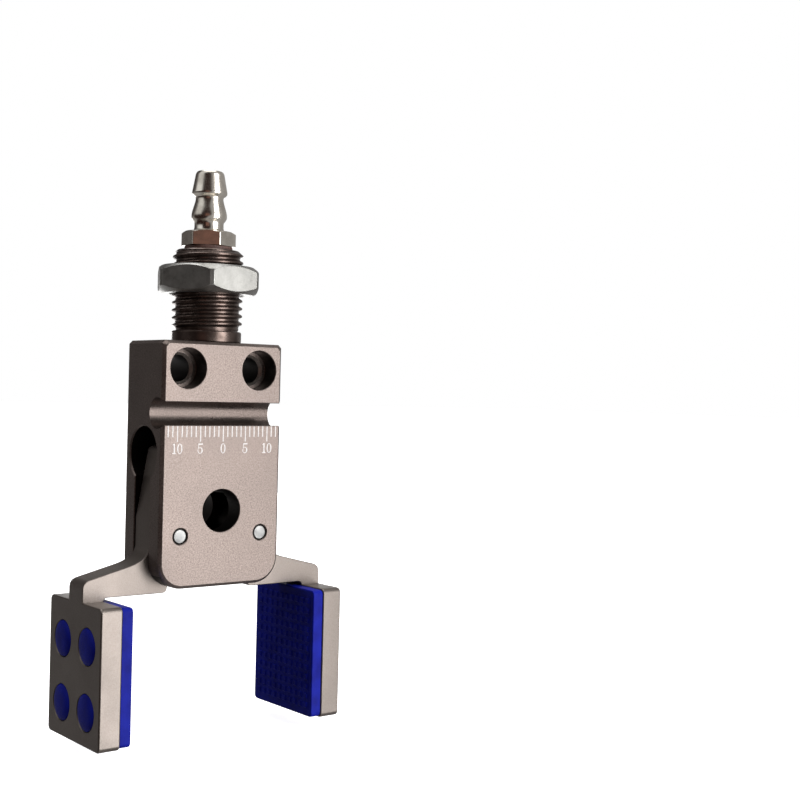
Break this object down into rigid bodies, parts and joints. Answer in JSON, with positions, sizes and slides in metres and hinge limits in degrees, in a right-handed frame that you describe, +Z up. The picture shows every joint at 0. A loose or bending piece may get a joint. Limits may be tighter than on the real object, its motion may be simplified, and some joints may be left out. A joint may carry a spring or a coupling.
{
  "type": "pneumatic gripper",
  "caption": "Small air-driven angular gripper: slotted bronze block with two pivoted jaws and blue studded pads, hung from a hollow threaded stem with lock nut and hose barb.",
  "frame": {"origin": "centre of the footprint on the plane the open jaw plates stand on", "axes": "+Z up along the stem to the hose barb, X across the two jaws, +Y from the front face with the scale and clamp groove to the rear face"},
  "size_m": [0.0538, 0.0216, 0.1088],
  "materials": {
    "anodised_block": "bead-blasted, bronze anodised",
    "anodised_jaw": "milled, bronze anodised",
    "anodised_stem": "turned, dark bronze anodised",
    "plated_nut": "dull nickel plate",
    "nickel": "bright nickel plate",
    "fibre": "red-brown vulcanised fibre",
    "pin_steel": "ground and polished",
    "bronze": "plain bearing bronze",
    "seal_rubber": "black nitrile",
    "blue_elastomer": "moulded, satin",
    "spring_steel": "drawn wire"
  },
  "bodies": {
    "body": {"housing": "anodised_block", "mounting_stem": "anodised_stem", "stem_seal_ring": "seal_rubber", "hose_barb": "nickel", "barb_washer": "fibre", "pivot_pin_left": "pin_steel", "pivot_pin_right": "pin_steel", "return_spring": "spring_steel"},
    "left_jaw": {"jaw_left": "anodised_jaw", "pad_left": "blue_elastomer", "pivot_bush_left": "bronze", "push_pin_left": "pin_steel", "spring_seat_left": "bronze"},
    "right_jaw": {"jaw_right": "anodised_jaw", "pad_right": "blue_elastomer", "pivot_bush_right": "bronze", "push_pin_right": "pin_steel", "spring_seat_right": "bronze"},
    "left_piston": {"piston_left": "nickel", "piston_seal_left": "seal_rubber"},
    "right_piston": {"piston_right": "nickel", "piston_seal_right": "seal_rubber"},
    "nut": {"lock_nut": "plated_nut"}
  },
  "joints": [
    {"name": "left_jaw_pivot", "type": "hinge", "parent": "body", "child": "left_jaw", "pos_m": [-0.0089, 0, 0.03787], "axis": [0, -1, 0], "range_deg": [0, 10], "stiffness_Nm_per_rad": 0.09, "springref_deg": -22.92, "deforming": ["return_spring"]},
    {"name": "right_jaw_pivot", "type": "hinge", "parent": "body", "child": "right_jaw", "pos_m": [0.0089, 0, 0.03787], "axis": [0, 1, 0], "range_deg": [0, 10]},
    {"name": "left_piston_slide", "type": "slide", "parent": "body", "child": "left_piston", "axis": [-1, 0, 0], "range_m": [0, 0.0026]},
    {"name": "right_piston_slide", "type": "slide", "parent": "body", "child": "right_piston", "axis": [1, 0, 0], "range_m": [0, 0.0026]},
    {"name": "lock_nut_run", "type": "slide", "parent": "body", "child": "nut", "axis": [0, 0, 1], "range_m": [-0.0071, 0.0029]}
  ],
  "couplings": [
    {"joint": "right_jaw_pivot", "follows": "left_jaw_pivot", "ratio": 1},
    {"joint": "left_piston_slide", "follows": "left_jaw_pivot", "m_per_rad": 0.01474},
    {"joint": "right_piston_slide", "follows": "left_jaw_pivot", "m_per_rad": 0.01474}
  ]
}
